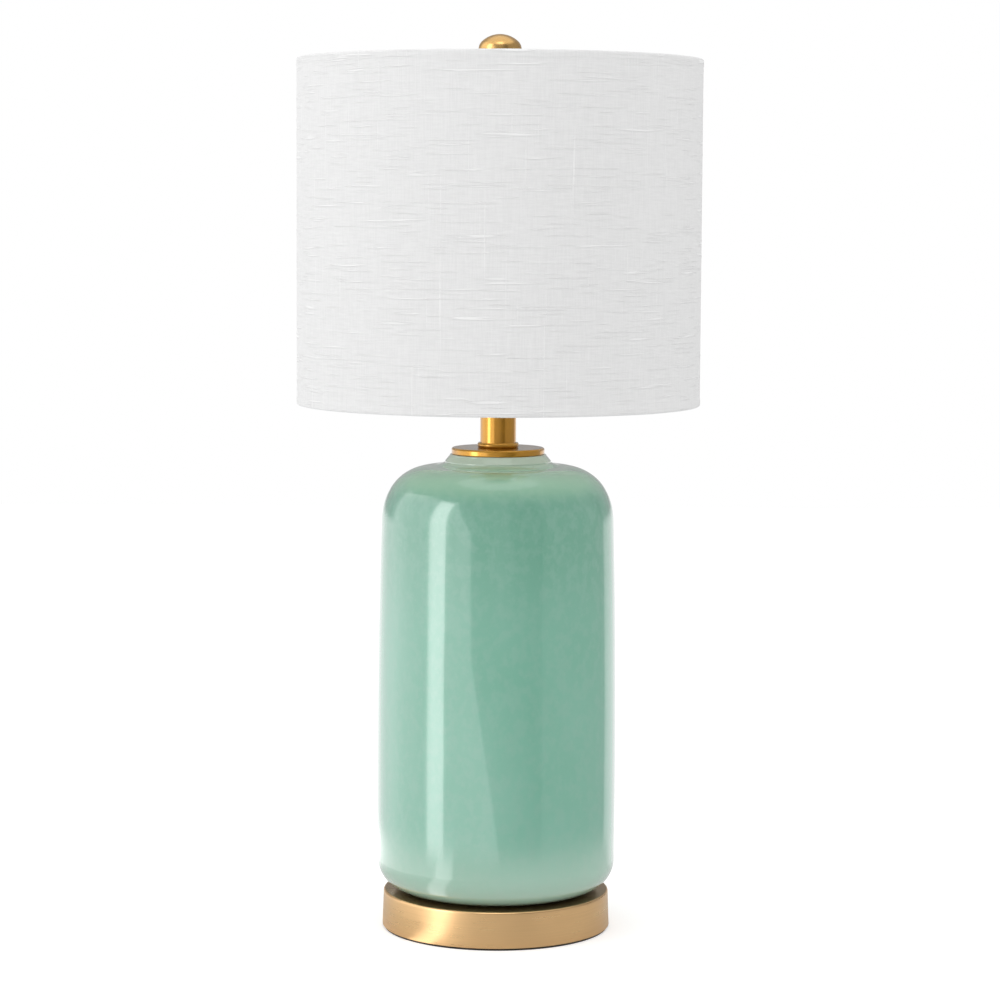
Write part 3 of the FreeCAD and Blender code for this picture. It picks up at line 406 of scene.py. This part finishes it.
def make_shade_cloth(slot_material):
    """One length of linen round the drum, lapped at the back, turned in over both rims."""
    path = cloth_path()
    tangent = np.gradient(path, axis=0)
    tangent /= np.linalg.norm(tangent, axis=1)[:, None]
    outward = np.stack([-tangent[:, 1], tangent[:, 0]], axis=1)
    across = np.r_[0, np.cumsum(np.hypot(*np.diff(path, axis=0).T))]
    full = 2 * math.pi * (SHADE_RADIUS - CLOTH / 2)
    along = np.linspace(0, full + SEAM, COLUMNS)
    turn = math.pi / 2 + along / (SHADE_RADIUS - CLOTH / 2)
    lap = np.clip((along - (full - SEAM_CLIMB)) / SEAM_CLIMB, 0, 1)
    lap = (CLOTH + SEAM_GAP) * lap * lap * (3 - 2 * lap)
    # The hem turned in at each rim makes the edge a little thicker.
    from_middle = np.abs(path[:, 1] - (SHADE_TOP + SHADE_BOTTOM) / 2)
    hem_starts = (SHADE_TOP - SHADE_BOTTOM) / 2 - HEM_WIDTH
    hem = np.clip((from_middle - hem_starts) / HEM_FADE, 0, 1)
    proud = CLOTH / 2 + slub_relief(along, across) + lap[:, None] + HEM_RISE * hem
    sides = []
    for offset in (proud, np.broadcast_to(-CLOTH / 2 + lap[:, None], proud.shape)):
        radius = path[:, 0] + outward[:, 0] * offset
        height = path[:, 1] + outward[:, 1] * offset
        x, y = radius * np.cos(turn)[:, None], radius * np.sin(turn)[:, None]
        sides.append(np.stack([x, y, height], axis=2).reshape(-1, 3))
    points = np.concatenate(sides)
    # The outer side's points come first, then the inner side's, then a strip joins the edges.
    side = COLUMNS * len(path)
    index = np.arange(side).reshape(COLUMNS, len(path))
    a, b, c, d = index[:-1, :-1], index[1:, :-1], index[1:, 1:], index[:-1, 1:]
    faces = [np.stack([a, d, c, b], axis=2).reshape(-1, 4),
             np.stack([a, b, c, d], axis=2).reshape(-1, 4) + side]
    loop = np.concatenate([index[:, 0], index[-1, 1:], index[-2::-1, -1], index[0, -2:0:-1]])
    after = np.roll(loop, -1)
    faces.append(np.stack([loop, after, after + side, loop + side], axis=1))
    faces = np.concatenate(faces)
    mesh = bpy.data.meshes.new("shade_cloth")
    mesh.from_pydata(points.tolist(), [], faces.tolist())
    mesh.shade_smooth()
    mesh.materials.append(slot_material)
    cloth = bpy.data.objects.new("shade_cloth", mesh)
    bpy.context.scene.collection.objects.link(cloth)
    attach(cloth, "shade")
    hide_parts("shade_linen", "shade_top_edge", "shade_bottom_edge")


# ------------------------------------------------------------------ world, lights and floor

# Brightness of each part of the studio, as shiny surfaces mirror it.
WINDOW_LIGHT = 3.5
PANEL_LIGHT = 1.2
LEFT_LIGHT = 1.05
RIGHT_LIGHT = 0.30
BEHIND_LIGHT = 0.9
CEILING_LIGHT = 1.15
OVERHEAD_LIGHT = 2.2
# The panel's right edge: its azimuth at the elevation where it bends, and its slope above
# and below that bend.
PANEL_EDGE = -24.5
PANEL_BEND = -7.0
PANEL_SLOPE_UP = -0.47
PANEL_SLOPE_DOWN = 4.7


def make_world():
    """White for the camera, an even soft light on rough surfaces, and a studio of
    pale panels round a dark camera side for what shiny surfaces mirror."""
    world = bpy.data.worlds.new("studio")
    bpy.context.scene.world = world
    g = Graph(world)
    direction = g.node("ShaderNodeTexCoord").outputs["Generated"]
    axes = g.node("ShaderNodeSeparateXYZ", {0: direction})
    x, y, z = axes.outputs
    across = g.azimuth(x, y)
    up = g.times(g.math("ARCSINE", z), DEGREES)

    def band(value, low, high, soft_low, soft_high):
        return g.times(g.ramp(value, low - soft_low, low + soft_low),
                      g.ramp(value, high - soft_high, high + soft_high, 1.0, 0.0))

    # The tall softbox at the left, the pale panel beside it and the white sweep behind.
    window = g.times(band(across, -69, -52, 4.5, 1.0), band(up, -15, 39, 6, 3))
    rise = g.math("MAXIMUM", g.add(up, -PANEL_BEND), 0.0)
    drop = g.math("MAXIMUM", g.math("SUBTRACT", PANEL_BEND, up), 0.0)
    edge = g.add(PANEL_EDGE, g.times(rise, PANEL_SLOPE_UP), g.times(drop, PANEL_SLOPE_DOWN))
    from_edge = g.math("SUBTRACT", across, edge)
    panel = g.times(g.ramp(across, -72, -68), g.ramp(from_edge, -1.5, 1.5, 1.0, 0.0))
    left = g.ramp(across, -70, -66, 1.0, 0.0)
    right = g.times(g.ramp(across, 43, 46), g.ramp(across, 124, 128, 1.0, 0.0))
    behind = g.ramp(across, 125, 131)
    ceiling = g.ramp(up, 40, 52)
    front = g.times(g.ramp(across, -5, 40, 0.5, 0.12), g.ramp(across, -140, -112, 0.1, 1.0))
    strength = g.add(front, g.times(window, WINDOW_LIGHT), g.times(panel, PANEL_LIGHT),
                     g.times(left, LEFT_LIGHT), g.times(right, RIGHT_LIGHT),
                     g.times(behind, BEHIND_LIGHT))
    # Behind the lamp, above its own height, the sweep is out of the light.
    back = g.ramp(g.math("ABSOLUTE", across), 120, 130)
    unlit = g.times(back, g.ramp(up, -4.0, 2.0, 0.0, 0.6))
    strength = g.times(strength, g.math("SUBTRACT", 1.0, unlit))
    overhead = g.times(band(across, -26, 26, 6, 6), band(up, 50, 70, 3, 3))
    strength = g.add(g.times(strength, g.math("SUBTRACT", 1.0, ceiling)),
                     g.times(ceiling, CEILING_LIGHT), g.times(overhead, OVERHEAD_LIGHT))
    rays = g.node("ShaderNodeLightPath").outputs
    seen = g.math("MAXIMUM", rays["Is Camera Ray"], rays["Is Transmission Ray"])
    shiny = g.times(rays["Is Glossy Ray"], strength)
    # Rough surfaces get an even light, a little stronger from the left.
    even = g.ramp(x, -1.0, 1.0, 0.875, 0.745, smooth=False)
    rough = g.math("SUBTRACT", 1.0, g.math("MAXIMUM", seen, rays["Is Glossy Ray"]))
    background = g.node("ShaderNodeBackground", {
        "Color": (1, 1, 1), "Strength": g.add(seen, shiny, g.times(rough, even))})
    output = g.node("ShaderNodeOutputWorld")
    g.tree.links.new(background.outputs[0], output.inputs[0])


LAMP_MIDDLE = Vector((0, 0, 0.32))
LIGHTS = (
    # name, azimuth, elevation, distance, width, height, radiance
    ("key", -62, 22, 1.5, 0.7, 1.3, 1.4),
    ("fill", 60, 18, 1.7, 0.9, 1.3, 0.7),
    ("top", 0, 78, 1.5, 1.2, 1.2, 0.8),
)


def area_light(name, azimuth, elevation, distance, width, height, radiance):
    """A soft light aimed at the middle of the lamp. Its azimuth is measured from the camera
    side, right positive."""
    data = bpy.data.lights.new(name, "AREA")
    data.shape = "RECTANGLE"
    data.size, data.size_y = width, height
    data.energy = radiance * math.pi * width * height
    light = bpy.data.objects.new(name, data)
    bpy.context.scene.collection.objects.link(light)
    a, e = math.radians(azimuth), math.radians(elevation)
    toward = Vector((math.sin(a) * math.cos(e), -math.cos(a) * math.cos(e), math.sin(e)))
    offset = toward * distance
    light.location = LAMP_MIDDLE + offset
    light.rotation_euler = (-offset).to_track_quat("-Z", "Y").to_euler()
    light.visible_glossy = False
    light.visible_camera = False


FLOOR_HALF = 3.0
FLOOR_LIFT = 0.42
PATCH_LIGHT = 1.45
# Between these distances from the lamp's axis the floor fades out of mirrors.
FLOOR_FADE = 0.30, 0.42


def make_floor():
    """A white floor that keeps the lamp's shadow. Seen in a mirror it is only as wide as a
    table, and from below it is clear, so the lamp's underside can be looked at."""
    mesh = bpy.data.meshes.new("floor")
    half = FLOOR_HALF
    corners = [(-half, -half, 0), (half, -half, 0), (half, half, 0), (-half, half, 0)]
    mesh.from_pydata(corners, [], [(0, 1, 2, 3)])
    floor = bpy.data.objects.new("floor", mesh)
    bpy.context.scene.collection.objects.link(floor)
    g = new_graph("floor_white")
    place = g.coords()
    length = g.node("ShaderNodeVectorMath", {0: place}, operation="LENGTH")
    radius = length.outputs["Value"]
    grain = g.noise(place, (90, 90, 90), detail=2.0)
    tone = g.mix(grain, (0.80, 0.80, 0.80), (0.82, 0.82, 0.82))
    rays = g.node("ShaderNodeLightPath").outputs
    x, y, _ = g.node("ShaderNodeSeparateXYZ", {0: place}).outputs
    across = g.azimuth(x, y)
    # The softbox's own patch of light on the floor, which the low base mirrors.
    patch = g.times(g.ramp(across, -54, -50), g.ramp(across, -38, -35, 1.0, 0.0))
    # Farther out, the floor at the left and at the far right is brighter too, in the jar's foot.
    sides = g.add(g.ramp(across, -42, -34, 0.9, 0.0), g.ramp(across, 118, 130, 0.0, 0.3))
    sides = g.times(sides, g.ramp(radius, 0.15, 0.30))
    mirrored = g.add(g.times(patch, PATCH_LIGHT), sides)
    lift = g.add(g.times(rays["Is Camera Ray"], FLOOR_LIFT),
                 g.times(rays["Is Glossy Ray"], mirrored))
    matte = g.node("ShaderNodeBsdfDiffuse", {"Color": tone})
    glow = g.node("ShaderNodeEmission", {"Color": (1, 1, 1), "Strength": lift})
    both = g.node("ShaderNodeAddShader", {0: matte.outputs[0], 1: glow.outputs[0]})
    clear = g.node("ShaderNodeBsdfTransparent")
    beyond = g.times(rays["Is Glossy Ray"], g.ramp(radius, *FLOOR_FADE))
    below = g.node("ShaderNodeNewGeometry").outputs["Backfacing"]
    out = g.node("ShaderNodeMixShader", {
        0: g.math("MAXIMUM", beyond, below), 1: both.outputs[0], 2: clear.outputs[0]})
    output = g.node("ShaderNodeOutputMaterial")
    g.tree.links.new(out.outputs[0], output.inputs[0])
    mesh.materials.append(g.owner)


# ------------------------------------------------------------------ assembly

scene = bpy.context.scene
scene.view_settings.view_transform = "Standard"
make_camera()
make_world()
for light in LIGHTS:
    area_light(*light)
make_floor()
materials = dress_nodes()
make_shade_cloth(materials["white_linen"])
